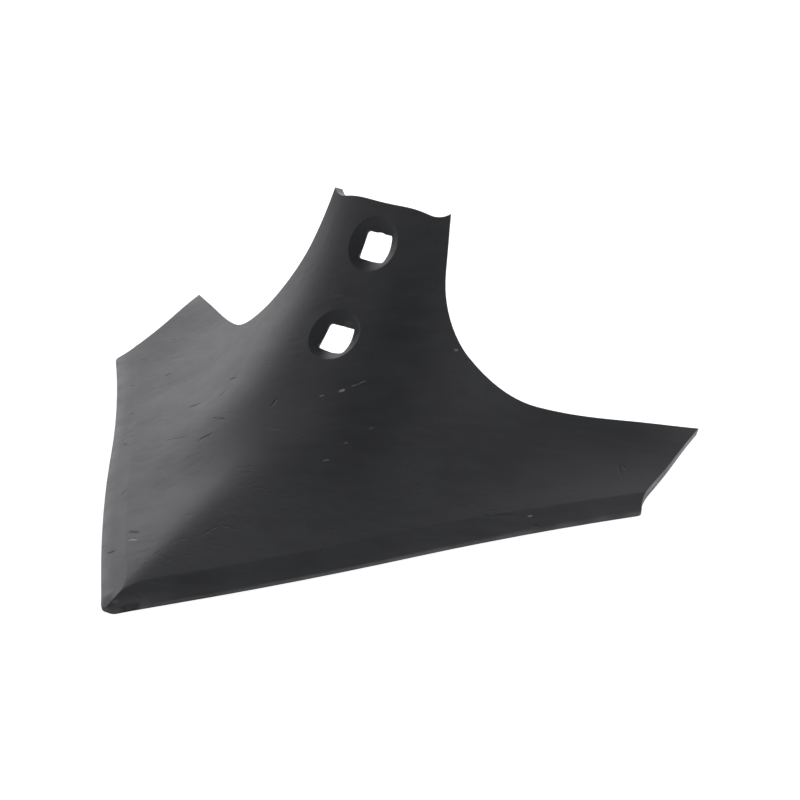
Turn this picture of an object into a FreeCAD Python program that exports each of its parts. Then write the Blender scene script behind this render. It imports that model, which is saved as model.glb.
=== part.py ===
import FreeCAD, Part
import math
import os

import Sketcher
from FreeCAD import Vector

# Share of a plough skimmer: one sheet of steel, pressed to a rounded ridge with two swept wings
# and a stem that bends up and back. It stands on its two cutting edges.
# X runs across, Y from the nose to the back, Z up. Lengths are millimetres, angles degrees.

SIZES = [
    ("sheet_thickness", 4.5),
    ("edge_height", 3.6),
    # ridge line, from the nose to the top of the stem
    ("nose_rise", 11.4),
    ("bend_start", 82.0),
    ("stem_top_slope", 57.5),
    ("tail_steepness", 1.6),
    # cross-sections
    ("ridge_roundness", 0.15),
    ("shoulder_half_width", 62.5),
    ("shoulder_sharpness", 3.19),
    ("shoulder_begins", 70.0),
    ("shoulder_complete", 136.0),
    # outline of the blank, as seen from above the formed share
    ("nose_radius", 6.0),
    ("waist_half_width", 83.3),
    ("waist_reach", 106.0),
    ("belly_radius", 1180.0),
    ("hollow_radius", 840.0),
    ("wing_corner_radius", 3.0),
    ("flare_width", 3.5),
    ("flare_radius", 28.0),
    ("half_span", 140.0),
    ("trailing_angle", 39.0),
    ("trailing_radius", 60.0),
    ("throat_ease", 5.6),
    ("throat_radius", 17.3),
    ("throat_reach", 190.2),
    ("stem_side_angle", 22.6),
    ("stem_rise", 16.4),
    ("top_hollow_radius", 185.0),
    ("top_half_width", 22.0),
    ("horn_half_width", 30.8),
    ("horn_rise", 5.5),
    # ground cutting edges
    ("edge_face", 1.6),
    ("bevel_width", 11.0),
    # bolt holes in the stem
    ("upper_hole_setback", 10.7),
    ("hole_pitch", 45.0),
    ("square_side", 13.4),
    ("square_corner_radius", 1.5),
    ("countersink_diameter", 24.4),
    ("countersink_angle", 102.0),
]

# Sizes that follow from the ones above
FOLLOWING = [
    ("top_reach", "throat_reach + stem_rise"),
    ("horn_reach", "top_reach + horn_rise"),
    ("bend_radius", "(top_reach - bend_start) / (sin(stem_top_slope) - sin(nose_rise))"),
    ("upper_hole_slope", "asin(sin(nose_rise) + (top_reach - upper_hole_setback - bend_start) / bend_radius) / 1deg"),
    ("lower_hole_slope", "upper_hole_slope - 2 * asin(hole_pitch / (2 * bend_radius)) / 1deg"),
    ("throat_run", "(horn_reach - throat_reach - throat_radius * (1 - sin(stem_side_angle))) * tan(stem_side_angle)"),
    ("throat_half_width", "horn_half_width + throat_run + throat_radius * cos(stem_side_angle)"),
    ("trailing_reach", "throat_reach + throat_radius - (throat_radius + throat_ease) / cos(trailing_angle)"),
    ("wing_reach", "trailing_reach + (half_span - throat_half_width) * tan(trailing_angle)"),
]

document = FreeCAD.newDocument("skimmer_share")
sheet = document.addObject("Spreadsheet::Sheet", "Sizes")
for row, (alias, value) in enumerate(SIZES + [(name, "=" + rule) for name, rule in FOLLOWING], start=1):
    sheet.set("A%d" % row, alias)
    sheet.set("B%d" % row, str(value))
    sheet.setAlias("B%d" % row, alias)
document.recompute()


def size(alias):
    return float(sheet.get(alias))


# Formed surface: the height of the sheet's top over its plan

def ridge_height(y):
    """Height of the ridge line: straight up from the nose, then an arc to the top of the stem."""
    nose = math.radians(size("nose_rise"))
    start = size("bend_start")
    top = size("top_reach")
    radius = size("bend_radius")
    height = size("edge_height") + min(y, start) * math.tan(nose)
    if y <= start:
        return height
    turn = math.asin(math.sin(nose) + (min(y, top) - start) / radius)
    height += radius * (math.cos(nose) - math.cos(turn))
    return height + max(y - top, 0) * math.tan(turn) * size("tail_steepness")


def edge_centres():
    """Centres of the cutting edge's outward belly and of its inward hollow, which meet at the waist."""
    nose = Vector(0, size("nose_radius"), 0)
    waist = Vector(size("waist_half_width"), size("waist_reach"), 0)
    radius = size("belly_radius")
    chord = waist - nose
    along = (chord.Length ** 2 + (radius - nose.y) ** 2 - radius ** 2) / (2 * chord.Length)
    chord.normalize()
    apart = math.sqrt((radius - nose.y) ** 2 - along ** 2)
    belly = nose + chord * along + Vector(-chord.y, chord.x, 0) * apart
    hollow = waist + (waist - belly) * (size("hollow_radius") / radius)
    return belly, hollow


def edge_point(y):
    """Point of the right cutting edge at that reach, and the level direction straight inboard."""
    belly, hollow = edge_centres()
    if y < size("waist_reach"):
        x = belly.x + math.sqrt(size("belly_radius") ** 2 - (y - belly.y) ** 2)
        return Vector(x, y, 0), (belly - Vector(x, y, 0)).normalize()
    x = hollow.x - math.sqrt(size("hollow_radius") ** 2 - (y - hollow.y) ** 2)
    return Vector(x, y, 0), (Vector(x, y, 0) - hollow).normalize()


def edge_half_width(y):
    return edge_point(max(y, 0))[0].x


def wing_corner():
    """Centre of the rounded corner where the cutting edge meets the flare of the wing end."""
    radius = size("wing_corner_radius")
    hollow = edge_centres()[1]
    x = size("half_span") + size("flare_width") - radius
    y = hollow.y + math.sqrt((size("hollow_radius") + radius) ** 2 - (hollow.x - x) ** 2)
    return Vector(x, y, 0)


def wing_section(x, edge):
    """Two straight wings that meet in a rounded ridge: 1 on the ridge, 0 at the edge."""
    roundness = size("ridge_roundness")
    across = x / edge
    fall = math.sqrt(across ** 2 + roundness ** 2) - roundness
    return 1 - fall / (math.sqrt(1 + roundness ** 2) - roundness)


def stem_section(x, edge):
    """Flat crown with steep shoulders that run out into the wings: 1 on the ridge, 0 at the edge."""
    def shoulder(across):
        return 1 / (1 + (across / size("shoulder_half_width")) ** size("shoulder_sharpness"))
    return (shoulder(x) - shoulder(edge)) / (1 - shoulder(edge))


def surface_height(x, y):
    begins = size("shoulder_begins")
    share = min(max((y - begins) / (size("shoulder_complete") - begins), 0), 1)
    blend = share * share * (3 - 2 * share)
    edge = edge_half_width(y)
    section = (1 - blend) * wing_section(abs(x), edge) + blend * stem_section(abs(x), edge)
    return size("edge_height") + (ridge_height(y) - size("edge_height")) * section


def formed_surface():
    """Smooth face through cross-sections that lie closer together at the nose and at the ridge."""
    sections = 24
    columns = 13
    front = -2.0
    back = size("wing_reach") + 12
    rows = []
    for i in range(sections + 1):
        part = i / sections
        y = front + (back - front) * part * (0.3 + 0.7 * part)
        reach = edge_half_width(y) * 1.03 + 2 * size("nose_radius")
        row = []
        for j in range(-columns, columns + 1):
            across = j / columns
            x = reach * across * (0.35 + 0.65 * abs(across))
            row.append(Vector(x, y, surface_height(x, y)))
        rows.append(row)
    surface = Part.BSplineSurface()
    surface.interpolate(rows)
    return surface.toShape()


def bevel_surface():
    """Ruled face from the blunt edge up to a line on the sheet one bevel width inboard, and beyond."""
    width = size("bevel_width")
    steps = 12
    front = width
    back = wing_corner().y + 2 * width
    outer = []
    inner = []
    for i in range(steps + 1):
        edge, inboard = edge_point(front + (back - front) * i / steps)
        crease = edge + inboard * width
        slope = (surface_height(crease.x, crease.y) - size("edge_face")) / width
        fall = inboard + Vector(0, 0, slope)
        foot = edge + Vector(0, 0, size("edge_face"))
        outer.append(foot - fall * width / 2)
        inner.append(foot + fall * width * 1.5)
    ahead = outer[0] - outer[1]
    ahead.z = 0
    ahead.normalize()
    outer.insert(0, outer[0] + ahead * 3 * width)
    inner.insert(0, inner[0] + ahead * 3 * width)
    curves = []
    for points in (outer, inner):
        curve = Part.BSplineCurve()
        curve.interpolate(points)
        curves.append(curve.toShape())
    return Part.makeRuledSurface(*curves)


# Sketch helpers

def add_line(sketch, start, end):
    return sketch.addGeometry(Part.LineSegment(Vector(*start, 0), Vector(*end, 0)), False)


def add_arc(sketch, start, end, radius, turn):
    """Arc from start to end, turning left (1) or right (-1); gives its number and end positions."""
    chord = Vector(end[0] - start[0], end[1] - start[1], 0)
    apart = math.sqrt(max(radius ** 2 - (chord.Length / 2) ** 2, 0))
    left = Vector(-chord.y, chord.x, 0).normalize()
    centre = Vector(*start, 0) + chord * 0.5 + left * (turn * apart)
    first, second = (start, end) if turn > 0 else (end, start)
    angle_first = math.atan2(first[1] - centre.y, first[0] - centre.x)
    angle_second = math.atan2(second[1] - centre.y, second[0] - centre.x)
    if angle_second < angle_first:
        angle_second += 2 * math.pi
    circle = Part.Circle(centre, Vector(0, 0, 1), radius)
    number = sketch.addGeometry(Part.ArcOfCircle(circle, angle_first, angle_second), False)
    return (number, 1, 2) if turn > 0 else (number, 2, 1)


def dimension(sketch, name, expression, *constraint):
    """Adds a dimension and ties it to the sheet."""
    number = sketch.addConstraint(Sketcher.Constraint(*constraint))
    sketch.renameConstraint(number, name)
    sketch.setExpression("Constraints." + name, expression)


def tie(sketch, kind, *elements):
    sketch.addConstraint(Sketcher.Constraint(kind, *elements))


ORIGIN = (-1, 1)
Y_AXIS = -2


def cutting_edge(sketch, end):
    """Nose arc, outward belly and inward hollow of the right cutting edge, up to the point end."""
    nose_radius = size("nose_radius")
    nose_end = (0.76 * nose_radius, 0.35 * nose_radius)
    waist = (size("waist_half_width"), size("waist_reach"))
    nose = add_arc(sketch, (0, 0), nose_end, nose_radius, 1)
    belly = add_arc(sketch, nose_end, waist, size("belly_radius"), 1)
    hollow = add_arc(sketch, waist, end, size("hollow_radius"), -1)
    tie(sketch, "Coincident", nose[0], nose[1], *ORIGIN)
    tie(sketch, "PointOnObject", nose[0], 3, Y_AXIS)
    tie(sketch, "Tangent", nose[0], nose[2], belly[0], belly[1])
    tie(sketch, "Tangent", belly[0], belly[2], hollow[0], hollow[1])
    dimension(sketch, "nose_radius", "Sizes.nose_radius", "Radius", nose[0], nose_radius)
    dimension(sketch, "belly_radius", "Sizes.belly_radius", "Radius", belly[0], size("belly_radius"))
    dimension(sketch, "hollow_radius", "Sizes.hollow_radius", "Radius", hollow[0], size("hollow_radius"))
    dimension(sketch, "waist_x", "Sizes.waist_half_width", "DistanceX", *ORIGIN, belly[0], belly[2], waist[0])
    dimension(sketch, "waist_y", "Sizes.waist_reach", "DistanceY", *ORIGIN, belly[0], belly[2], waist[1])
    return nose, belly, hollow


def touch(centre, radius, other):
    """Point of a circle on the line from its centre through another centre."""
    point = centre + (other - centre).normalize() * radius
    return (point.x, point.y)


def half_outline():
    """Right half of the blank's outline, closed along the middle."""
    sketch = document.addObject("Sketcher::SketchObject", "half_outline")
    span = size("half_span")
    corner_radius = size("wing_corner_radius")
    flare_radius = size("flare_radius")
    corner_centre = wing_corner()
    flare_x = span + flare_radius
    flare_apart = math.sqrt((flare_radius + corner_radius) ** 2 - (flare_x - corner_centre.x) ** 2)
    flare_centre = Vector(flare_x, corner_centre.y + flare_apart, 0)
    corner = touch(corner_centre, corner_radius, edge_centres()[1])
    corner_end = touch(corner_centre, corner_radius, flare_centre)
    flare_end = (span, flare_centre.y)
    tip = (span, size("wing_reach"))

    trailing = math.radians(size("trailing_angle"))
    back = Vector(math.cos(trailing), math.sin(trailing), 0)
    down = Vector(back.y, -back.x, 0)
    side = math.radians(size("stem_side_angle"))
    sweep_radius = size("trailing_radius")
    throat_radius = size("throat_radius")
    apart = sweep_radius - throat_radius
    depth = apart - size("throat_ease")
    throat_centre = Vector(size("throat_half_width"), size("throat_reach") + throat_radius, 0)
    sweep_centre = throat_centre - down * depth + back * math.sqrt(apart ** 2 - depth ** 2)
    trail_point = sweep_centre + down * sweep_radius
    trail_end = (trail_point.x, trail_point.y)
    throat_start = touch(throat_centre, -throat_radius, sweep_centre)
    throat_end = (throat_centre.x - throat_radius * math.cos(side), throat_centre.y - throat_radius * math.sin(side))

    top_radius = size("top_hollow_radius")
    top = (0, size("top_reach"))
    top_end_x = size("top_half_width")
    top_end = (top_end_x, top[1] + top_radius - math.sqrt(top_radius ** 2 - top_end_x ** 2))
    horn = (size("horn_half_width"), size("horn_reach"))
    horn_chord = Vector(horn[0] - top_end[0], horn[1] - top_end[1], 0)
    horn_turn = math.atan2(horn_chord.y, horn_chord.x) - math.asin(top_end_x / top_radius)
    horn_radius = horn_chord.Length / (2 * math.sin(horn_turn))

    nose, belly, hollow = cutting_edge(sketch, corner)
    wing_corner_arc = add_arc(sketch, corner, corner_end, corner_radius, 1)
    flare = add_arc(sketch, corner_end, flare_end, flare_radius, -1)
    wing_end = add_line(sketch, flare_end, tip)
    trailing_edge = add_line(sketch, trail_end, tip)
    sweep = add_arc(sketch, trail_end, throat_start, sweep_radius, -1)
    throat = add_arc(sketch, throat_start, throat_end, throat_radius, -1)
    stem_side = add_line(sketch, throat_end, horn)
    horn_arc = add_arc(sketch, horn, top_end, horn_radius, -1)
    top_edge = add_arc(sketch, top_end, top, top_radius, -1)
    middle = add_line(sketch, top, (0, 0))

    tie(sketch, "Tangent", hollow[0], hollow[2], wing_corner_arc[0], wing_corner_arc[1])
    tie(sketch, "Tangent", wing_corner_arc[0], wing_corner_arc[2], flare[0], flare[1])
    tie(sketch, "Tangent", flare[0], flare[2], wing_end, 1)
    tie(sketch, "Vertical", wing_end)
    tie(sketch, "Coincident", wing_end, 2, trailing_edge, 2)
    tie(sketch, "Tangent", trailing_edge, 1, sweep[0], sweep[1])
    tie(sketch, "Tangent", sweep[0], sweep[2], throat[0], throat[1])
    tie(sketch, "Tangent", throat[0], throat[2], stem_side, 1)
    tie(sketch, "Coincident", stem_side, 2, horn_arc[0], horn_arc[1])
    tie(sketch, "Tangent", horn_arc[0], horn_arc[2], top_edge[0], top_edge[1])
    tie(sketch, "PointOnObject", top_edge[0], 3, Y_AXIS)
    tie(sketch, "Coincident", top_edge[0], top_edge[2], middle, 1)
    tie(sketch, "Vertical", middle)
    tie(sketch, "Coincident", middle, 2, *ORIGIN)

    dimension(sketch, "corner_radius", "Sizes.wing_corner_radius", "Radius", wing_corner_arc[0], corner_radius)
    dimension(sketch, "corner_x", "Sizes.half_span + Sizes.flare_width - Sizes.wing_corner_radius", "DistanceX",
              *ORIGIN, wing_corner_arc[0], 3, corner_centre.x)
    dimension(sketch, "flare_radius", "Sizes.flare_radius", "Radius", flare[0], flare_radius)
    dimension(sketch, "tip_x", "Sizes.half_span", "DistanceX", *ORIGIN, wing_end, 2, span)
    dimension(sketch, "trailing_angle", "Sizes.trailing_angle * 1deg", "Angle", trailing_edge, trailing)
    dimension(sketch, "sweep_radius", "Sizes.trailing_radius", "Radius", sweep[0], sweep_radius)
    dimension(sketch, "throat_radius", "Sizes.throat_radius", "Radius", throat[0], throat_radius)
    dimension(sketch, "throat_y", "Sizes.throat_reach + Sizes.throat_radius", "DistanceY", *ORIGIN,
              throat[0], 3, throat_centre.y)
    dimension(sketch, "throat_ease", "Sizes.throat_radius + Sizes.throat_ease", "Distance", throat[0], 3,
              trailing_edge, throat_radius + size("throat_ease"))
    dimension(sketch, "stem_side_angle", "(90 + Sizes.stem_side_angle) * 1deg", "Angle", stem_side,
              math.radians(90) + side)
    dimension(sketch, "horn_x", "Sizes.horn_half_width", "DistanceX", *ORIGIN, stem_side, 2, horn[0])
    dimension(sketch, "horn_y", "Sizes.horn_reach", "DistanceY", *ORIGIN, stem_side, 2, horn[1])
    dimension(sketch, "top_radius", "Sizes.top_hollow_radius", "Radius", top_edge[0], top_radius)
    dimension(sketch, "top_x", "Sizes.top_half_width", "DistanceX", *ORIGIN, top_edge[0], top_edge[1], top_end_x)
    dimension(sketch, "top_y", "Sizes.top_reach", "DistanceY", *ORIGIN, middle, 1, top[1])
    return sketch


def square_outline(name):
    """Square of the bolt's neck with rounded corners, centred on the origin."""
    sketch = document.addObject("Sketcher::SketchObject", name)
    half = size("square_side") / 2
    radius = size("square_corner_radius")
    inner = half - radius
    corners = [(1, -1), (1, 1), (-1, 1), (-1, -1)]
    sides = []
    arcs = []
    for k in range(4):
        here = corners[k]
        there = corners[(k + 1) % 4]
        along = ((there[0] - here[0]) / 2, (there[1] - here[1]) / 2)
        out = (along[1], -along[0])
        begin = (out[0] * half - along[0] * inner, out[1] * half - along[1] * inner)
        end = (out[0] * half + along[0] * inner, out[1] * half + along[1] * inner)
        sides.append(add_line(sketch, begin, end))
        next_begin = (there[0] * inner, there[1] * half) if along[1] else (there[0] * half, there[1] * inner)
        arcs.append(add_arc(sketch, end, next_begin, radius, 1))
    for k in range(4):
        tie(sketch, "Tangent", sides[k], 2, arcs[k][0], arcs[k][1])
        tie(sketch, "Tangent", arcs[k][0], arcs[k][2], sides[(k + 1) % 4], 1)
        tie(sketch, "Vertical" if k % 2 == 0 else "Horizontal", sides[k])
    for k in range(3):
        tie(sketch, "Equal", arcs[k][0], arcs[k + 1][0])
    dimension(sketch, "corner_radius", "Sizes.square_corner_radius", "Radius", arcs[0][0], radius)
    dimension(sketch, "right", "Sizes.square_side / 2", "DistanceX", *ORIGIN, sides[0], 1, half)
    dimension(sketch, "left", "Sizes.square_side / 2", "DistanceX", sides[2], 1, *ORIGIN, half)
    dimension(sketch, "back", "Sizes.square_side / 2", "DistanceY", *ORIGIN, sides[1], 1, half)
    dimension(sketch, "front", "Sizes.square_side / 2", "DistanceY", sides[3], 1, *ORIGIN, half)
    return sketch


# Features

def extrusion(name, base, length):
    feature = document.addObject("Part::Extrusion", name)
    feature.Base = base
    feature.DirMode = "Custom"
    feature.Dir = Vector(0, 0, 1)
    feature.Solid = True
    feature.setExpression("LengthFwd", length)
    return feature


def mirrored(name, source):
    feature = document.addObject("Part::Mirroring", name)
    feature.Source = source
    feature.Normal = Vector(1, 0, 0)
    return feature


def formed_plate():
    """Top surface trimmed to the outline, then given the sheet's thickness at right angles to it."""
    top = document.addObject("Part::Feature", "formed_surface")
    top.Shape = formed_surface()
    right = extrusion("right_half", half_outline(), "Sizes.wing_reach + 2 * Sizes.shoulder_half_width")
    right.setExpression("LengthRev", "4 * Sizes.sheet_thickness")
    blank = document.addObject("Part::MultiFuse", "blank")
    blank.Shapes = [right, mirrored("left_half", right)]
    blank.Refine = True
    trimmed = document.addObject("Part::Common", "trimmed_surface")
    trimmed.Base = top
    trimmed.Tool = blank
    plate = document.addObject("Part::Offset", "formed_plate")
    plate.Source = trimmed
    plate.Fill = True
    plate.setExpression("Value", "Sizes.sheet_thickness")
    return plate


def ground_cutters():
    """Level cut under both edges, and the space above the bevel of each of them."""
    level = document.addObject("Part::Box", "level_cut")
    level.setExpression("Length", "3 * Sizes.half_span")
    level.setExpression("Width", "2 * Sizes.wing_reach")
    level.setExpression("Height", "10 * Sizes.sheet_thickness")
    level.setExpression("Placement.Base.x", "-1.5 * Sizes.half_span")
    level.setExpression("Placement.Base.y", "-0.5 * Sizes.wing_reach")
    level.setExpression("Placement.Base.z", "-10 * Sizes.sheet_thickness")
    bevel = document.addObject("Part::Feature", "bevel_surface")
    bevel.Shape = bevel_surface()
    right = extrusion("right_bevel", bevel, "4 * Sizes.sheet_thickness")
    return [level, right, mirrored("left_bevel", right)]


def bolt_hole(name, slope):
    """Square hole with a round countersink, at right angles to the ridge line where it has that slope."""
    nose = "Sizes.nose_rise"
    ridge_y = "Sizes.bend_start + Sizes.bend_radius * (sin(%s) - sin(%s))" % (slope, nose)
    ridge_z = ("Sizes.edge_height + Sizes.bend_start * tan(%s) + Sizes.bend_radius * (cos(%s) - cos(%s))"
               % (nose, nose, slope))
    depth = "2 * Sizes.sheet_thickness"
    widening = "tan(Sizes.countersink_angle / 2)"
    punch = extrusion(name + "_square", square_outline(name + "_neck"), depth)
    punch.setExpression("LengthRev", depth)
    cone = document.addObject("Part::Cone", name + "_countersink")
    cone.setExpression("Radius1", "Sizes.countersink_diameter / 2 - 1.1 * Sizes.sheet_thickness * %s" % widening)
    cone.setExpression("Radius2", "Sizes.countersink_diameter / 2 + Sizes.sheet_thickness * %s" % widening)
    cone.setExpression("Height", "2.1 * Sizes.sheet_thickness")
    for feature, drop in ((punch.Base, "0"), (cone, "1.1 * Sizes.sheet_thickness")):
        feature.Placement = FreeCAD.Placement(Vector(), FreeCAD.Rotation(Vector(1, 0, 0), 45))
        feature.setExpression("Placement.Rotation.Angle", "(%s) * 1deg" % slope)
        feature.setExpression("Placement.Base.y", "%s + %s * sin(%s)" % (ridge_y, drop, slope))
        feature.setExpression("Placement.Base.z", "%s - %s * cos(%s)" % (ridge_z, drop, slope))
    punch.DirMode = "Normal"
    return [punch, cone]


plate = formed_plate()
lower_slope = "Sizes.lower_hole_slope"
upper_slope = "Sizes.upper_hole_slope"
tools = ground_cutters() + bolt_hole("lower", lower_slope) + bolt_hole("upper", upper_slope)
waste = document.addObject("Part::MultiFuse", "waste")
waste.Shapes = tools
share = document.addObject("Part::Cut", "share")
share.Base = plate
share.Tool = waste
share.Label = "share"
document.recompute()

for item in document.Objects:
    if "Invalid" in item.State or "Error" in item.State:
        raise RuntimeError("%s did not build: %s" % (item.Name, item.State))
if share.Shape.isNull() or not share.Shape.isValid() or len(share.Shape.Solids) != 1:
    raise RuntimeError("the share is not one valid solid")

# The part's frame stands halfway between the nose and the wing tips
box = share.Shape.Solids[0].optimalBoundingBox(True, False)
share.Placement = FreeCAD.Placement(Vector(0, -box.Center.y, 0), FreeCAD.Rotation())
shape = share.Shape
os.makedirs("parts", exist_ok=True)
shape.Solids[0].exportStep(os.path.join("parts", share.Label + ".step"))
print("share: volume %.0f mm3, box %.2f x %.2f x %.2f mm, frame %.3f behind the nose, from z %.2f"
      % (shape.Volume, box.XLength, box.YLength, box.ZLength, box.Center.y, box.ZMin))
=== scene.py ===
import math

import bmesh
import bpy
from bpy.props import FloatProperty, FloatVectorProperty, IntProperty, PointerProperty
from bpy.types import Operator, Panel, PropertyGroup
from mathutils import Matrix, Vector
from mathutils.bvhtree import BVHTree
from mathutils.interpolate import poly_3d_calc


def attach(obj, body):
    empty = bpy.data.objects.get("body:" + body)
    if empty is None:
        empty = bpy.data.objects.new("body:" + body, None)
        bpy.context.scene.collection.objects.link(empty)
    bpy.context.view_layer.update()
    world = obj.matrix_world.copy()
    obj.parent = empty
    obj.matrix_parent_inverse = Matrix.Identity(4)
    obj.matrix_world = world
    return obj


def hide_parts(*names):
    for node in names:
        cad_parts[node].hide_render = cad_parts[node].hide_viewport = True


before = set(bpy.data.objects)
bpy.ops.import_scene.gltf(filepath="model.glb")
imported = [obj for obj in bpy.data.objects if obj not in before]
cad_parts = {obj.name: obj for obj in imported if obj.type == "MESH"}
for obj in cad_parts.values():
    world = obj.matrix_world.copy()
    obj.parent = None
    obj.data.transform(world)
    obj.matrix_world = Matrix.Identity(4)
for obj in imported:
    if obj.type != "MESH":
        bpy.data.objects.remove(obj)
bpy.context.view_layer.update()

bl_info = {
    "name": "Skimmer share",
    "version": (1, 0, 0),
    "blender": (4, 5, 0),
    "location": "View3D > Sidebar > Skimmer share",
    "description": "Dresses the pressed share in worn satin paint and sets the studio around it",
    "category": "Object",
}


# Settings

class ShareForm(PropertyGroup):
    rim_radius: FloatProperty(
        name="Rim radius", description="Rounding of every cut edge of the sheet",
        default=0.00028, min=0.0001, unit="LENGTH")
    rim_segments: IntProperty(
        name="Rim segments", description="Faces across a rounded rim", default=2, min=1)
    soft_radius: FloatProperty(
        name="Soft radius",
        description="Rounding of the bevels' upper lines and the countersinks' mouths",
        default=0.0004, min=0.0001, unit="LENGTH")
    crease_angle: FloatProperty(
        name="Crease angle",
        description="Smooth patches that meet at more than this angle get rounded",
        default=math.radians(8), subtype="ANGLE")
    soft_angle: FloatProperty(
        name="Soft angle",
        description="Patches that meet at less than this angle get the soft radius",
        default=math.radians(48), subtype="ANGLE")
    merge_distance: FloatProperty(
        name="Merge distance",
        description="Corners of the mesh closer together than this become one",
        default=0.00005, min=0, unit="LENGTH")
    square_reach: FloatProperty(
        name="Square reach",
        description="Edges nearer to a bolt hole's middle than this belong to its square",
        default=0.0108, min=0, unit="LENGTH")
    mouth_reach: FloatProperty(
        name="Mouth reach",
        description="Edges nearer to a bolt hole's middle than this belong to its countersink",
        default=0.017, min=0, unit="LENGTH")
    cut_area: FloatProperty(
        name="Cut area", description="Patches larger than this are faces of the sheet and not cuts",
        default=0.00045, min=0, unit="AREA")
    ground_height: FloatProperty(
        name="Ground height",
        description="Patches whose middle is lower than this keep plain paint",
        default=0.002, min=0, unit="LENGTH")
    lower_hole: FloatVectorProperty(
        name="Lower hole", description="Middle of the lower bolt hole on the sheet",
        default=(0, 0.0402, 0.0571), subtype="TRANSLATION", unit="LENGTH")
    upper_hole: FloatVectorProperty(
        name="Upper hole", description="Middle of the upper bolt hole on the sheet",
        default=(0, 0.0722, 0.0892), subtype="TRANSLATION", unit="LENGTH")


class SharePaint(PropertyGroup):
    colour: FloatVectorProperty(
        name="Paint", description="Colour of the satin paint",
        default=(0.0178, 0.0200, 0.0222), subtype="COLOR", size=3, min=0, max=1)
    # Worn paint also colours the paler band low over the ground, which is partly painted reflection
    # and painted highlight.
    worn_and_sheen_colour: FloatVectorProperty(
        name="Worn paint",
        description="Colour where paint is rubbed thin on rims and light scratches",
        default=(0.26, 0.26, 0.265), subtype="COLOR", size=3, min=0, max=1)
    # The gouge colour darkens the dents and dark scratches: painted shade in their hollows.
    gouge_shade_colour: FloatVectorProperty(
        name="Gouge", description="Colour at the bottom of dents and dark scratches",
        default=(0.006, 0.006, 0.007), subtype="COLOR", size=3, min=0, max=1)
    roughness: FloatProperty(
        name="Roughness", description="How far the paint scatters a reflection",
        default=0.49, min=0, max=1, subtype="FACTOR")
    roughness_spread: FloatProperty(
        name="Roughness spread", description="Change of roughness between rubbed and dull places",
        default=0.08, min=0, max=1, subtype="FACTOR")
    gloss: FloatProperty(
        name="Gloss", description="Strength of the paint's reflection",
        default=0.5, min=0, max=1, subtype="FACTOR")
    # The lower gloss in the bolt holes darkens them: painted shade in the countersinks.
    bore_gloss: FloatProperty(
        name="Bore gloss", description="Strength of the reflection inside the grimy bolt holes",
        default=0.34, min=0, max=1, subtype="FACTOR")
    rim_wear: FloatProperty(
        name="Rim wear", description="How far the paint is rubbed off the cut edges",
        default=0.85, min=0, max=1, subtype="FACTOR")
    smudge_size: FloatProperty(
        name="Smudges", description="Size of rubbed and dull places",
        default=0.03, min=0.001, unit="LENGTH")
    grain_size: FloatProperty(
        name="Grain", description="Size of the paint's grain",
        default=0.0016, min=0.0001, unit="LENGTH")
    grain_depth: FloatProperty(
        name="Grain depth", description="Height of the paint's grain",
        default=0.000012, min=0, unit="LENGTH")
    grain_turn: FloatProperty(
        name="Grain turn",
        description="Direction of the brushed grain, streaks and scuffs, from the X axis",
        default=math.radians(32), subtype="ANGLE")
    scuff_depth: FloatProperty(
        name="Scuff depth", description="Depth of the fine scuffs",
        default=0.000045, min=0, unit="LENGTH")
    mark_depth: FloatProperty(
        name="Mark depth", description="Depth of scratches and dents",
        default=0.0003, min=0, unit="LENGTH")


class Studio(PropertyGroup):
    camera_place: FloatVectorProperty(
        name="Camera place", description="Where the camera stands",
        default=(0.49337, -0.69613, 0.46258), subtype="TRANSLATION", unit="LENGTH")
    camera_heading: FloatProperty(
        name="Heading", description="Turn of the camera from looking straight back",
        default=math.radians(31.97), subtype="ANGLE")
    camera_tilt: FloatProperty(
        name="Tilt", description="How far the camera looks down",
        default=math.radians(26.24), subtype="ANGLE")
    camera_roll: FloatProperty(
        name="Roll", description="Turn of the camera about its own line of sight",
        default=math.radians(0.287), subtype="ANGLE")
    lens: FloatProperty(
        name="Lens", description="Focal length on a sensor 36 mm wide, in millimetres",
        default=99.0, min=1)
    tint: FloatVectorProperty(
        name="Tint", description="Colour of the light that falls on the share",
        default=(0.988, 0.966, 1.0), subtype="COLOR", size=3, min=0, max=1)
    wall_light: FloatProperty(
        name="Wall light", description="Strength of the world's light near the horizon",
        default=1.66, min=0)
    ceiling_light: FloatProperty(
        name="Ceiling light", description="Strength of the world's light from overhead",
        default=0.32, min=0)
    front_share: FloatProperty(
        name="Front share", description="Part of the world's light that comes from the front",
        default=0.42, min=0, max=1, subtype="FACTOR")
    right_share: FloatProperty(
        name="Right share", description="Part of the world's light that comes from the right",
        default=0.72, min=0, max=1, subtype="FACTOR")
    left_lamp: FloatProperty(
        name="Left lamp", description="Power of the wide lamp low on the left, in watts",
        default=3.0, min=0)
    lamp_place: FloatVectorProperty(
        name="Lamp place", description="Where the lamp stands; it faces the share",
        default=(-1.1, 0.9, 0.65), subtype="TRANSLATION", unit="LENGTH")
    lamp_width: FloatProperty(
        name="Lamp width", description="Width of the lamp", default=1.6, min=0.01, unit="LENGTH")
    lamp_height: FloatProperty(
        name="Lamp height", description="Height of the lamp", default=0.9, min=0.01, unit="LENGTH")
    floor_reach: FloatProperty(
        name="Floor reach", description="Half the width of the floor",
        default=6.0, min=0.5, unit="LENGTH")
    floor_tone: FloatProperty(
        name="Floor tone", description="Grey value of the floor's matt surface",
        default=0.8, min=0, max=1, subtype="FACTOR")
    floor_seen: FloatProperty(
        name="Floor seen", description="White added to the floor where the camera sees it",
        default=0.78, min=0, max=1, subtype="FACTOR")
    floor_mirrored: FloatProperty(
        name="Floor mirrored", description="White added to the floor where the paint reflects it",
        default=0.45, min=0, max=1, subtype="FACTOR")
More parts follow.
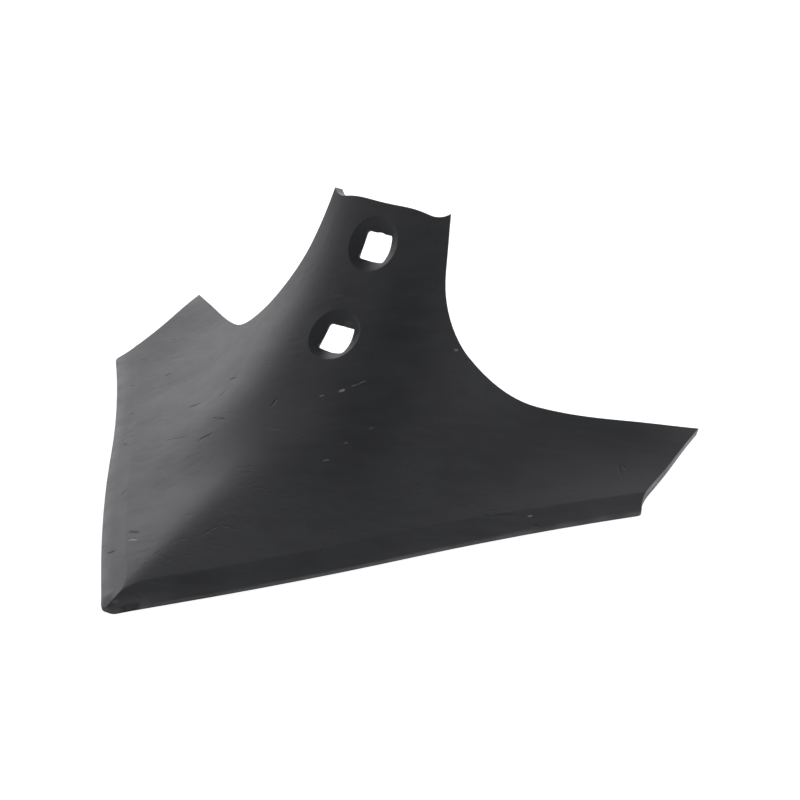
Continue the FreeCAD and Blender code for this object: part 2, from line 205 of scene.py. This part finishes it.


# Scratches, dents and rubbed places: middle, direction, half length, half width, strength
# Dark strokes are real scratches and dents; their darker colour is painted shade in the hollows.
DARK_MARKS = (
    ((-0.0556, 0.0084, 0.0214), (0.870, -0.022, 0.492), 0.0046, 0.0008, 0.55),
    ((-0.0308, -0.0164, 0.0231), (0.643, 0.623, 0.445), 0.0042, 0.0008, 0.60),
    ((-0.0411, 0.0187, 0.0344), (0.869, -0.099, 0.485), 0.0034, 0.0009, 0.50),
    ((-0.1002, 0.0459, 0.0101), (0.695, 0.637, 0.335), 0.0014, 0.0009, 0.45),
    ((-0.0406, 0.0095, 0.0305), (0.470, 0.687, 0.555), 0.0022, 0.0007, 0.35),
    ((-0.0306, -0.0060, 0.0276), (0.959, -0.164, 0.233), 0.0056, 0.0006, 0.50),
    ((-0.0213, -0.0797, 0.0084), (0.968, -0.104, 0.228), 0.0036, 0.0013, 0.45),
    ((-0.0237, -0.0919, 0.0042), (0.873, 0.243, 0.423), 0.0022, 0.0008, 0.60),
    ((-0.0778, -0.0148, 0.0054), (0.906, -0.231, 0.354), 0.0017, 0.0008, 0.45),
    ((-0.0950, 0.0116, 0.0052), (0.781, 0.471, 0.410), 0.0015, 0.0007, 0.35),
    ((-0.1138, 0.0361, 0.0047), (0.954, -0.090, 0.286), 0.0018, 0.0007, 0.30),
    ((-0.1221, 0.0797, 0.0099), (0.969, -0.012, 0.245), 0.0014, 0.0007, 0.25),
    ((-0.1246, 0.0592, 0.0063), (0.832, -0.549, 0.082), 0.0024, 0.0012, 0.15),
    ((-0.0470, -0.0156, 0.0175), (0.916, 0.068, 0.395), 0.0076, 0.0005, 0.40),
    ((-0.0490, -0.0516, 0.0066), (0.114, 0.930, 0.350), 0.0022, 0.0006, 0.35),
    ((-0.0090, 0.0048, 0.0366), (0.061, 0.885, 0.460), 0.0027, 0.0007, 0.45),
    ((0.0510, -0.0477, 0.0069), (0.117, -0.941, -0.319), 0.0044, 0.0006, 0.50),
    ((0.1116, 0.0243, 0.0026), (0.554, 0.832, 0.027), 0.0015, 0.0009, 0.70),
    ((0.1248, 0.0773, 0.0089), (0.626, -0.733, -0.267), 0.0051, 0.0009, 0.35),
    ((0.0937, 0.0144, 0.0064), (0.730, 0.676, -0.100), 0.0022, 0.0008, 0.45),
    ((0.0533, 0.0633, 0.0503), (0.470, 0.879, 0.085), 0.0008, 0.0007, 0.50),
    # The next two strokes paint shade on the blunt nose tip and its left facet.
    ((0.0065, -0.1186, 0.0010), (0.600, 0.790, 0.030), 0.0052, 0.0021, 0.95),
    ((-0.0015, -0.1215, 0.0020), (-0.600, 0.790, 0.030), 0.0060, 0.0040, 0.50),
    ((0.0095, -0.0691, 0.0136), (0.313, 0.941, 0.130), 0.0058, 0.0006, 0.40),
    ((0.0153, -0.0621, 0.0137), (0.927, 0.341, -0.155), 0.0043, 0.0006, 0.35),
    ((0.0990, 0.0200, 0.0060), (0.730, 0.676, -0.100), 0.0062, 0.0012, 0.35),
    ((0.0940, 0.0185, 0.0078), (0.730, 0.676, -0.100), 0.0040, 0.0009, 0.30),
    ((0.1262, 0.0800, 0.0092), (0.900, -0.400, -0.100), 0.0034, 0.0008, 0.40),
)
LIGHT_MARKS = (
    ((-0.0183, -0.0841, 0.0083), (0.935, 0.215, 0.283), 0.0028, 0.0008, 0.70),
    ((-0.0295, -0.0200, 0.0215), (0.643, 0.623, 0.445), 0.0036, 0.0006, 0.30),
    ((0.0010, -0.0069, 0.0312), (0.989, 0.139, 0.052), 0.0060, 0.0004, 0.12),
    ((0.0289, -0.0109, 0.0260), (0.756, 0.651, 0.065), 0.0017, 0.0006, 0.30),
    ((0.0171, 0.0190, 0.0437), (0.751, 0.610, 0.253), 0.0017, 0.0008, 0.75),
    ((0.0222, 0.0244, 0.0460), (0.677, 0.687, 0.263), 0.0046, 0.0004, 0.40),
    ((0.0101, 0.0139, 0.0414), (0.840, 0.489, 0.235), 0.0014, 0.0006, 0.40),
    ((0.0369, 0.0123, 0.0337), (0.693, 0.721, -0.010), 0.0011, 0.0005, 0.25),
    ((0.0316, 0.0003, 0.0303), (0.816, 0.578, -0.024), 0.0009, 0.0005, 0.25),
    ((0.1074, 0.0273, 0.0047), (0.620, 0.784, -0.007), 0.0014, 0.0006, 0.60),
    ((0.0492, 0.0620, 0.0542), (0.412, 0.888, 0.203), 0.0011, 0.0008, 0.60),
    ((-0.0076, 0.0527, 0.0703), (0.941, 0.222, 0.256), 0.0042, 0.0009, 0.05),
    ((0.0030, 0.0475, 0.0610), (0.940, 0.200, 0.280), 0.0040, 0.0022, 0.10),
    ((0.0010, -0.1205, 0.0030), (0.600, 0.790, 0.030), 0.0022, 0.0014, 0.25),
)


# Patterns of the paint: sizes and reaches in metres, stretches along the grain, and FADE pairs
# of values between which a mask goes from 0 to 1, or over the WEAR pair next to it
MARK_END_FADE, MARK_SIDE_FADE = (1.0, 0.4), (1.0, 0.3)
RAGGED_SIZE, RAGGED_REACH = 0.0024, 0.0007
BEND_SIZE, BEND_REACH = 0.007, 0.0022
SCUFF_SIZE, SCUFF_STRETCH, SCUFF_FADE = 0.0024, 2.2, (0.52, 0.68)
SCUFF_PATCH_SIZE, SCUFF_PATCH_FADE = 0.028, (0.42, 0.62)
# The LEFT, RIGHT and LOW_RUB lines shape a paler band close over the ground: rubbed paint, with a
# painted reflection of the floor on the right and a painted highlight on the left edge.
LEFT_HEIGHT_FADE, LEFT_SIDE_FADE, LEFT_WEAR_AND_SHEEN = (0.0048, 0.0014), (0.03, -0.02), (0.04, 0.42)
RIGHT_HEIGHT_FADE, RIGHT_SIDE_FADE, RIGHT_WEAR_AND_SHEEN = (0.0026, 0.0014), (0.02, 0.05), (0.0, 0.3)
LOW_RUB_AND_SHEEN_SIZE, LOW_RUB_AND_SHEEN_FADE, LOW_RUB_AND_SHEEN_WEAR = 0.01, (0.35, 0.65), (0.45, 1.0)
RIM_RUB_SIZE, RIM_RUB_FADE, RIM_HEIGHT_FADE = 0.012, (0.38, 0.68), (0.0015, 0.0045)
BRUSH_STRETCH, STREAK_STRETCH = 10.0, 8.0
TONE_FADE, DULL_FADE = (0.35, 0.65), (0.3, 0.7)

# Parts of the paint's values: least wear of a rim and its part at the ground, size of a
# streak against a smudge, shares of both in the tone, deep and pale colour, and how far
# scuffs darken and marks dull the paint
RIM_RUB_LEAST, RIM_LOW_PART = 0.4, 0.15
STREAK_SIZE, SMUDGE_PART, STREAK_PART = 0.125, 0.6, 0.4
TONE_PARTS = (0.8, 1.25)
SCUFF_DARKNESS, HIDDEN_DULLNESS = 0.08, 0.3

# Directions of the sky, as parts of the unit vector, between which its light fades
CEILING_FADE, FRONT_FADE, RIGHT_FADE = (0.28, 1.0), (0.05, -0.6), (-0.1, 0.5)

# Material slots of the sheet after its plain paint, and the gap in metres between corners
# that the CAD mesh holds twice
RIM_SLOT, BORE_SLOT = 1, 2
WELD_DISTANCE = 1e-6


# Materials

def new_material(name):
    material = bpy.data.materials.new(name)
    material.use_nodes = True
    nodes = material.node_tree.nodes
    nodes.clear()
    output = nodes.new("ShaderNodeOutputMaterial")
    return material, nodes, material.node_tree.links, output


def math_node(nodes, links, operation, first, second=None):
    """Math node whose inputs are sockets or plain numbers; gives its output."""
    node = nodes.new("ShaderNodeMath")
    node.operation = operation
    for socket, value in zip(node.inputs, (first, second)):
        if isinstance(value, bpy.types.NodeSocket):
            links.new(value, socket)
        elif value is not None:
            socket.default_value = value
    return node.outputs[0]


def vector_math(nodes, links, operation, *values):
    """Vector math node whose inputs are sockets or plain vectors."""
    node = nodes.new("ShaderNodeVectorMath")
    node.operation = operation
    for socket, value in zip(node.inputs, values):
        if isinstance(value, bpy.types.NodeSocket):
            links.new(value, socket)
        else:
            socket.default_value = value
    return node


def ramp(nodes, links, value, low, high, start=0.0, end=1.0):
    """Smooth step of a value from low to high; gives its output."""
    node = nodes.new("ShaderNodeMapRange")
    node.interpolation_type = "SMOOTHSTEP"
    links.new(value, node.inputs["Value"])
    for name, number in (("From Min", low), ("From Max", high),
                         ("To Min", start), ("To Max", end)):
        node.inputs[name].default_value = number
    return node.outputs["Result"]


def noise(nodes, links, vector, size, detail=3.0, stretch=None):
    """Noise whose features have about that size in metres; gives its value from 0 to 1."""
    if stretch:
        turn = bpy.context.scene.share_paint.grain_turn
        mapping = nodes.new("ShaderNodeMapping")
        mapping.vector_type = "TEXTURE"
        mapping.inputs["Rotation"].default_value = (0, 0, turn)
        mapping.inputs["Scale"].default_value = (stretch, 1, 1)
        links.new(vector, mapping.inputs["Vector"])
        vector = mapping.outputs["Vector"]
    node = nodes.new("ShaderNodeTexNoise")
    links.new(vector, node.inputs["Vector"])
    node.inputs["Scale"].default_value = 1 / size
    node.inputs["Detail"].default_value = detail
    return node.outputs["Fac"]


def mark_group():
    """Node group that gives 1 inside a short stroke on the surface and 0 outside it."""
    group = bpy.data.node_groups.new("surface_mark", "ShaderNodeTree")
    for name, kind in (("Point", "Vector"), ("Middle", "Vector"), ("Along", "Vector"),
                       ("Half length", "Float"), ("Half width", "Float"), ("Strength", "Float")):
        group.interface.new_socket(name, in_out="INPUT", socket_type="NodeSocket" + kind)
    group.interface.new_socket("Mark", in_out="OUTPUT", socket_type="NodeSocketFloat")
    nodes = group.nodes
    links = group.links
    given = nodes.new("NodeGroupInput").outputs
    result = nodes.new("NodeGroupOutput")
    away = vector_math(nodes, links, "SUBTRACT", given["Point"], given["Middle"])
    away = away.outputs["Vector"]
    run = vector_math(nodes, links, "DOT_PRODUCT", away, given["Along"]).outputs["Value"]
    cross = vector_math(nodes, links, "CROSS_PRODUCT", away, given["Along"]).outputs["Vector"]
    side = vector_math(nodes, links, "LENGTH", cross).outputs["Value"]
    run = math_node(nodes, links, "ABSOLUTE", run)
    run = math_node(nodes, links, "DIVIDE", run, given["Half length"])
    side = math_node(nodes, links, "DIVIDE", side, given["Half width"])
    inside = math_node(nodes, links, "MULTIPLY", ramp(nodes, links, run, *MARK_END_FADE),
                       ramp(nodes, links, side, *MARK_SIDE_FADE))
    mark = math_node(nodes, links, "MULTIPLY", inside, given["Strength"])
    links.new(mark, result.inputs["Mark"])
    return group


def marks(nodes, links, point, group, strokes):
    """Joins the masks of several strokes; gives the output."""
    names = ("Middle", "Along", "Half length", "Half width", "Strength")
    total = 0.0
    for stroke in strokes:
        node = nodes.new("ShaderNodeGroup")
        node.node_tree = group
        links.new(point, node.inputs["Point"])
        for name, value in zip(names, stroke):
            node.inputs[name].default_value = value
        total = math_node(nodes, links, "MAXIMUM", node.outputs["Mark"], total)
    return total


def mix_colour(nodes, links, factor, first, second):
    """Mix of two colours, each a socket or a plain colour; gives its output."""
    node = nodes.new("ShaderNodeMix")
    node.data_type = "RGBA"
    links.new(factor, node.inputs["Factor"])
    for socket, colour in zip((node.inputs[6], node.inputs[7]), (first, second)):
        if isinstance(colour, bpy.types.NodeSocket):
            links.new(colour, socket)
        else:
            socket.default_value = (*colour, 1)
    return node.outputs[2]


def wander(nodes, links, point, size, reach):
    """Point moved by up to that reach in metres, so that strokes get ragged; gives its output."""
    wobble = nodes.new("ShaderNodeTexNoise")
    wobble.inputs["Scale"].default_value = 1 / size
    links.new(point, wobble.inputs["Vector"])
    moved = vector_math(nodes, links, "MULTIPLY_ADD",
                        wobble.outputs["Color"], (2 * reach,) * 3, point)
    centred = vector_math(nodes, links, "SUBTRACT", moved.outputs["Vector"], (reach,) * 3)
    return centred.outputs["Vector"]


def scuffs(nodes, links, point):
    """Short shallow scuffs that gather in patches; gives their mask."""
    lines = noise(nodes, links, point, SCUFF_SIZE, stretch=SCUFF_STRETCH)
    lines = ramp(nodes, links, lines, *SCUFF_FADE)
    patches = noise(nodes, links, point, SCUFF_PATCH_SIZE, detail=2.0)
    patches = ramp(nodes, links, patches, *SCUFF_PATCH_FADE)
    return math_node(nodes, links, "MULTIPLY", lines, patches)


def low_rub_and_sheen(nodes, links, point):
    """Paler band close over the ground, higher and paler on the left wing: rubbed paint, with a
    painted reflection of the floor on the right and a painted highlight on the left edge; gives its
    mask.
    """
    split = nodes.new("ShaderNodeSeparateXYZ")
    links.new(point, split.inputs[0])
    across = split.outputs["X"]
    height = split.outputs["Z"]
    left = math_node(nodes, links, "MULTIPLY", ramp(nodes, links, height, *LEFT_HEIGHT_FADE),
                     ramp(nodes, links, across, *LEFT_SIDE_FADE, *LEFT_WEAR_AND_SHEEN))
    right = math_node(nodes, links, "MULTIPLY", ramp(nodes, links, height, *RIGHT_HEIGHT_FADE),
                      ramp(nodes, links, across, *RIGHT_SIDE_FADE, *RIGHT_WEAR_AND_SHEEN))
    patchy = noise(nodes, links, point, LOW_RUB_AND_SHEEN_SIZE, detail=4.0)
    patchy = ramp(nodes, links, patchy, *LOW_RUB_AND_SHEEN_FADE, *LOW_RUB_AND_SHEEN_WEAR)
    return math_node(nodes, links, "MULTIPLY",
                     math_node(nodes, links, "MAXIMUM", left, right), patchy)


def rim_rub(nodes, links, point, wear):
    """Uneven rub on the cut edges, weaker close over the ground; gives its mask."""
    rubbed = noise(nodes, links, point, RIM_RUB_SIZE, detail=4.0)
    rubbed = ramp(nodes, links, rubbed, *RIM_RUB_FADE, wear * RIM_RUB_LEAST, wear)
    split = nodes.new("ShaderNodeSeparateXYZ")
    links.new(point, split.inputs[0])
    raised = ramp(nodes, links, split.outputs["Z"], *RIM_HEIGHT_FADE, RIM_LOW_PART, 1.0)
    return math_node(nodes, links, "MULTIPLY", rubbed, raised)


def paint_height(nodes, links, place, scuff, mark):
    """Height of the paint in metres: its grain, less the scuffs and the marks."""
    paint = bpy.context.scene.share_paint
    grain = noise(nodes, links, place, paint.grain_size, detail=4.0)
    brushed = noise(nodes, links, place, paint.grain_size, detail=2.0, stretch=BRUSH_STRETCH)
    height = math_node(nodes, links, "ADD", grain, brushed)
    height = math_node(nodes, links, "MULTIPLY", height, paint.grain_depth)
    for mask, depth in ((scuff, paint.scuff_depth), (mark, paint.mark_depth)):
        sunk = math_node(nodes, links, "MULTIPLY", mask, depth)
        height = math_node(nodes, links, "SUBTRACT", height, sunk)
    return height


def satin_paint(name, rim_wear, gloss):
    """Dark satin dip paint with smudges, grain, scratches and dents, painted shade in the dents and
    scratches, and a paler band low over the ground that is partly painted light; rim_wear rubs the
    rims.
    """
    paint = bpy.context.scene.share_paint
    material, nodes, links, output = new_material(name)
    shader = nodes.new("ShaderNodeBsdfPrincipled")
    shader.inputs["Specular IOR Level"].default_value = gloss
    place = nodes.new("ShaderNodeTexCoord").outputs["Object"]
    ragged = wander(nodes, links, place, RAGGED_SIZE, RAGGED_REACH)

    group = bpy.data.node_groups.get("surface_mark") or mark_group()
    dark = marks(nodes, links, ragged, group, DARK_MARKS)
    light = marks(nodes, links, ragged, group, LIGHT_MARKS)
    scuff = scuffs(nodes, links, wander(nodes, links, ragged, BEND_SIZE, BEND_REACH))
    # Darkening from the dark marks and the scuffs; the marks' part is painted shade in dents and
    # scratches.
    mark_shade_and_scuffs = math_node(nodes, links, "MULTIPLY", scuff, SCUFF_DARKNESS)
    mark_shade_and_scuffs = math_node(nodes, links, "MAXIMUM", dark, mark_shade_and_scuffs)
    # Paler paint from light scratches, rubbed rims and the band low over the ground; that band is
    # partly painted reflection and highlight.
    worn_and_sheen = math_node(nodes, links, "MAXIMUM", light, low_rub_and_sheen(nodes, links, place))
    if rim_wear:
        worn_and_sheen = math_node(nodes, links, "MAXIMUM", worn_and_sheen, rim_rub(nodes, links, place, rim_wear))

    smudge = noise(nodes, links, place, paint.smudge_size, detail=5.0)
    streak = noise(nodes, links, place, paint.smudge_size * STREAK_SIZE, stretch=STREAK_STRETCH)
    tone = math_node(nodes, links, "ADD", math_node(nodes, links, "MULTIPLY", smudge, SMUDGE_PART),
                     math_node(nodes, links, "MULTIPLY", streak, STREAK_PART))
    deep, pale = ([channel * part for channel in paint.colour] for part in TONE_PARTS)
    colour = mix_colour(nodes, links, ramp(nodes, links, tone, *TONE_FADE), deep, pale)
    colour = mix_colour(nodes, links, worn_and_sheen, colour, paint.worn_and_sheen_colour)
    # Gouge colour in the marks and scuffs: painted shade.
    colour = mix_colour(nodes, links, mark_shade_and_scuffs, colour, paint.gouge_shade_colour)
    links.new(colour, shader.inputs["Base Color"])

    low = paint.roughness - paint.roughness_spread / 2
    high = paint.roughness + paint.roughness_spread / 2
    dull = math_node(nodes, links, "ADD", ramp(nodes, links, tone, *DULL_FADE, low, high),
                     math_node(nodes, links, "MULTIPLY", mark_shade_and_scuffs, HIDDEN_DULLNESS))
    links.new(dull, shader.inputs["Roughness"])

    mark = math_node(nodes, links, "MAXIMUM", dark, light)
    bump = nodes.new("ShaderNodeBump")
    bump.inputs["Distance"].default_value = 1.0
    links.new(paint_height(nodes, links, place, scuff, mark), bump.inputs["Height"])
    links.new(bump.outputs["Normal"], shader.inputs["Normal"])
    links.new(shader.outputs[0], output.inputs["Surface"])
    return material


def floor_white(studio):
    """Matt white that the camera and reflections see as plain white, less the share's shadow."""
    material, nodes, links, output = new_material("floor_white")
    matt = nodes.new("ShaderNodeBsdfDiffuse")
    matt.inputs["Color"].default_value = (*(studio.floor_tone,) * 3, 1)
    glow = nodes.new("ShaderNodeEmission")
    glow.inputs["Color"].default_value = (1, 1, 1, 1)
    path = nodes.new("ShaderNodeLightPath")
    seen = math_node(nodes, links, "MULTIPLY", path.outputs["Is Camera Ray"], studio.floor_seen)
    bounced = math_node(nodes, links, "MAXIMUM",
                        path.outputs["Is Glossy Ray"], path.outputs["Is Transmission Ray"])
    bounced = math_node(nodes, links, "MULTIPLY", bounced, studio.floor_mirrored)
    links.new(math_node(nodes, links, "ADD", seen, bounced), glow.inputs["Strength"])
    both = nodes.new("ShaderNodeAddShader")
    links.new(matt.outputs[0], both.inputs[0])
    links.new(glow.outputs[0], both.inputs[1])
    links.new(both.outputs[0], output.inputs["Surface"])
    return material


# Pieces

def hole_distance(place, form):
    """Distance of a place from the middle of the nearer bolt hole."""
    return min((place - Vector(hole)).length for hole in (form.lower_hole, form.upper_hole))


def number_patches(shape):
    """Gives each smooth patch of the unmerged CAD mesh its own number, kept on its faces."""
    patch = shape.faces.layers.int.new("patch")
    number = 0
    for first in shape.faces:
        if first[patch]:
            continue
        number += 1
        first[patch] = number
        waiting = [first]
        while waiting:
            face = waiting.pop()
            for edge in face.edges:
                for neighbour in edge.link_faces:
                    if not neighbour[patch]:
                        neighbour[patch] = number
                        waiting.append(neighbour)
    return patch


class PatchGuide:
    """Exact normals of the CAD mesh, found again at any point of one of its smooth patches."""

    def __init__(self, mesh, shape, patch):
        self.places = [vertex.co.copy() for vertex in mesh.vertices]
        self.normals = [None] * len(self.places)
        for loop in mesh.loops:
            self.normals[loop.vertex_index] = Vector(mesh.corner_normals[loop.index].vector)
        self.corners = {}
        for face in shape.faces:
            self.corners.setdefault(face[patch], []).append([vertex.index for vertex in face.verts])
        self.trees = {number: BVHTree.FromPolygons(self.places, corners)
                      for number, corners in self.corners.items()}
        self.found = {}

    def normal(self, vertex, number):
        key = (vertex.index, number)
        if key not in self.found:
            place, _, index, _ = self.trees[number].find_nearest(vertex.co)
            corners = self.corners[number][index]
            shares = poly_3d_calc([self.places[corner] for corner in corners], place)
            normal = Vector()
            for corner, part in zip(corners, shares):
                normal += self.normals[corner] * part
            self.found[key] = normal.normalized()
        return self.found[key]


class SHARE_OT_sheet(Operator):
    """Builds the painted sheet over the pressed share, with its cut edges rounded but for the
    square holes and the edge ground flat below
    """
    bl_idname = "share.sheet"
    bl_label = "Painted sheet"

    def execute(self, context):
        form = context.scene.share_form
        paint = context.scene.share_paint
        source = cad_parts["share"]
        shape = bmesh.new()
        shape.from_mesh(source.data)
        patch = number_patches(shape)
        guide = PatchGuide(source.data, shape, patch)
        bmesh.ops.remove_doubles(shape, verts=shape.verts, dist=WELD_DISTANCE)
        bmesh.ops.dissolve_degenerate(shape, edges=shape.edges, dist=form.merge_distance)
        self.mark_cut_faces(shape, patch, form)
        rim = shape.faces.layers.int.new("rim")
        soft, _ = self.creases(shape, patch, form)
        self.round_edges(shape, soft, form.soft_radius, form.rim_segments, rim)
        _, sharp = self.creases(shape, patch, form, rim)
        for face in self.round_edges(shape, sharp, form.rim_radius, form.rim_segments, rim):
            face.material_index = RIM_SLOT
        for face in shape.faces:
            face.smooth = True
        shape.verts.index_update()
        normals = self.corner_normals(shape, patch, rim, guide)
        mesh = bpy.data.meshes.new("share_sheet")
        shape.to_mesh(mesh)
        shape.free()
        mesh.normals_split_custom_set(normals)
        sheet = bpy.data.objects.new("share_sheet", mesh)
        context.collection.objects.link(sheet)
        mesh.materials.append(satin_paint("satin_paint", 0, paint.gloss))
        mesh.materials.append(satin_paint("rubbed_rim", paint.rim_wear, paint.gloss))
        # Bolt-hole paint with a dimmer reflection: painted shade in the countersinks.
        mesh.materials.append(satin_paint("shaded_bore", 0, paint.bore_gloss))
        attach(sheet, "root")
        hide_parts("share")
        return {"FINISHED"}

    def round_edges(self, shape, edges, radius, segments, rim):
        """Rounds the edges, marks the new faces as rim and gives them."""
        faces = bmesh.ops.bevel(
            shape, geom=edges, offset=radius, offset_type="OFFSET", segments=segments,
            profile=0.5, affect="EDGES", clamp_overlap=False, material=-1)["faces"]
        for face in faces:
            face[rim] = 1
        return faces

    def mark_cut_faces(self, shape, patch, form):
        """Rubbed paint for the cut faces above the ground; for the bolt holes a paint whose dimmer
        reflection is painted shade.
        """
        groups = {}
        for face in shape.faces:
            groups.setdefault(face[patch], []).append(face)
        for faces in groups.values():
            area = sum(face.calc_area() for face in faces)
            middle = sum((face.calc_center_median() * face.calc_area() for face in faces),
                         Vector()) / area
            if area > form.cut_area or middle.z < form.ground_height:
                continue
            slot = RIM_SLOT if hole_distance(middle, form) > form.mouth_reach else BORE_SLOT
            for face in faces:
                face.material_index = slot

    def creases(self, shape, patch, form, rim=None):
        """Soft lines and sharp rims between patches, less what is already rounded.

        The square holes and the edge ground flat below stay as they are.
        """
        soft = []
        sharp = []
        for edge in shape.edges:
            first, second = edge.link_faces
            if first[patch] == second[patch] or (rim and (first[rim] or second[rim])):
                continue
            angle = edge.calc_face_angle(0)
            away = hole_distance((edge.verts[0].co + edge.verts[1].co) / 2, form)
            grounded = max(vertex.co.z for vertex in edge.verts) < form.merge_distance
            if angle < form.crease_angle or away < form.square_reach:
                continue
            if grounded or not edge.is_convex:
                continue
            if angle > form.soft_angle and away > form.mouth_reach:
                sharp.append(edge)
            else:
                soft.append(edge)
        return soft, sharp

    def corner_normals(self, shape, patch, rim, guide):
        """The CAD surface's own normals on its patches; the rims turn smoothly between them."""
        normals = []
        for face in shape.faces:
            for loop in face.loops:
                vertex = loop.vert
                if not face[rim]:
                    normals.append(guide.normal(vertex, face[patch]))
                    continue
                flat = [other for other in vertex.link_faces if not other[rim]]
                normals.append(guide.normal(vertex, flat[0][patch]) if flat
                               else vertex.normal.copy())
        return normals


class SHARE_OT_stage(Operator):
    """Sets the white floor, the soft light and the camera"""
    bl_idname = "share.stage"
    bl_label = "Studio"

    def execute(self, context):
        studio = context.scene.share_studio
        self.make_floor(context, studio)
        self.make_world(context, studio)
        self.make_lamp(context, studio)
        self.make_camera(context, studio)
        context.scene.view_settings.view_transform = "Standard"
        return {"FINISHED"}

    def make_floor(self, context, studio):
        mesh = bpy.data.meshes.new("floor")
        shape = bmesh.new()
        bmesh.ops.create_grid(shape, x_segments=1, y_segments=1, size=studio.floor_reach)
        shape.to_mesh(mesh)
        shape.free()
        floor = bpy.data.objects.new("floor", mesh)
        context.collection.objects.link(floor)
        floor.data.materials.append(floor_white(studio))

    def make_world(self, context, studio):
        """Pale walls under a darker ceiling, darker in front and right; the camera sees white."""
        world = bpy.data.worlds.new("studio")
        context.scene.world = world
        world.use_nodes = True
        nodes = world.node_tree.nodes
        links = world.node_tree.links
        background = nodes["Background"]
        split = nodes.new("ShaderNodeSeparateXYZ")
        links.new(nodes.new("ShaderNodeTexCoord").outputs["Generated"], split.inputs[0])
        light = ramp(nodes, links, split.outputs["Z"], *CEILING_FADE,
                     studio.wall_light, studio.ceiling_light)
        front = ramp(nodes, links, split.outputs["Y"], *FRONT_FADE, 1.0, studio.front_share)
        right = ramp(nodes, links, split.outputs["X"], *RIGHT_FADE, 1.0, studio.right_share)
        light = math_node(nodes, links, "MULTIPLY", light, front)
        light = math_node(nodes, links, "MULTIPLY", light, right)
        path = nodes.new("ShaderNodeLightPath")
        colour = mix_colour(nodes, links, path.outputs["Is Camera Ray"], studio.tint, (1, 1, 1))
        links.new(colour, background.inputs["Color"])
        strength = nodes.new("ShaderNodeMix")
        links.new(path.outputs["Is Camera Ray"], strength.inputs["Factor"])
        links.new(light, strength.inputs["A"])
        strength.inputs["B"].default_value = 1.0
        links.new(strength.outputs["Result"], background.inputs["Strength"])

    def make_lamp(self, context, studio):
        """Wide soft lamp that faces the share."""
        lamp = bpy.data.lights.new("left_lamp", "AREA")
        lamp.shape = "RECTANGLE"
        lamp.size = studio.lamp_width
        lamp.size_y = studio.lamp_height
        lamp.energy = studio.left_lamp
        holder = bpy.data.objects.new("left_lamp", lamp)
        holder.location = studio.lamp_place
        holder.rotation_mode = "QUATERNION"
        holder.rotation_quaternion = (-holder.location).to_track_quat("-Z", "Y")
        context.collection.objects.link(holder)

    def make_camera(self, context, studio):
        data = bpy.data.cameras.new("camera")
        data.lens = studio.lens
        data.sensor_width = 36
        data.clip_start = 0.05
        camera = bpy.data.objects.new("camera", data)
        turn = (Matrix.Rotation(studio.camera_heading, 4, "Z")
                @ Matrix.Rotation(math.radians(90) - studio.camera_tilt, 4, "X")
                @ Matrix.Rotation(studio.camera_roll, 4, "Z"))
        camera.matrix_world = Matrix.Translation(Vector(studio.camera_place)) @ turn
        context.collection.objects.link(camera)
        context.scene.camera = camera


class SHARE_PT_panel(Panel):
    bl_label = "Skimmer share"
    bl_idname = "SHARE_PT_panel"
    bl_space_type = "VIEW_3D"
    bl_region_type = "UI"
    bl_category = "Skimmer share"

    def draw(self, context):
        scene = context.scene
        for group in (scene.share_form, scene.share_paint, scene.share_studio):
            box = self.layout.box()
            for name in group.__annotations__:
                box.prop(group, name)
        self.layout.operator("share.sheet")
        self.layout.operator("share.stage")


CLASSES = (ShareForm, SharePaint, Studio, SHARE_OT_sheet, SHARE_OT_stage, SHARE_PT_panel)


def register():
    for entry in CLASSES:
        bpy.utils.register_class(entry)
    bpy.types.Scene.share_form = PointerProperty(type=ShareForm)
    bpy.types.Scene.share_paint = PointerProperty(type=SharePaint)
    bpy.types.Scene.share_studio = PointerProperty(type=Studio)


def unregister():
    del bpy.types.Scene.share_studio
    del bpy.types.Scene.share_paint
    del bpy.types.Scene.share_form
    for entry in reversed(CLASSES):
        bpy.utils.unregister_class(entry)


def main():
    register()
    bpy.ops.share.sheet()
    bpy.ops.share.stage()


if __name__ == "__main__":
    main()
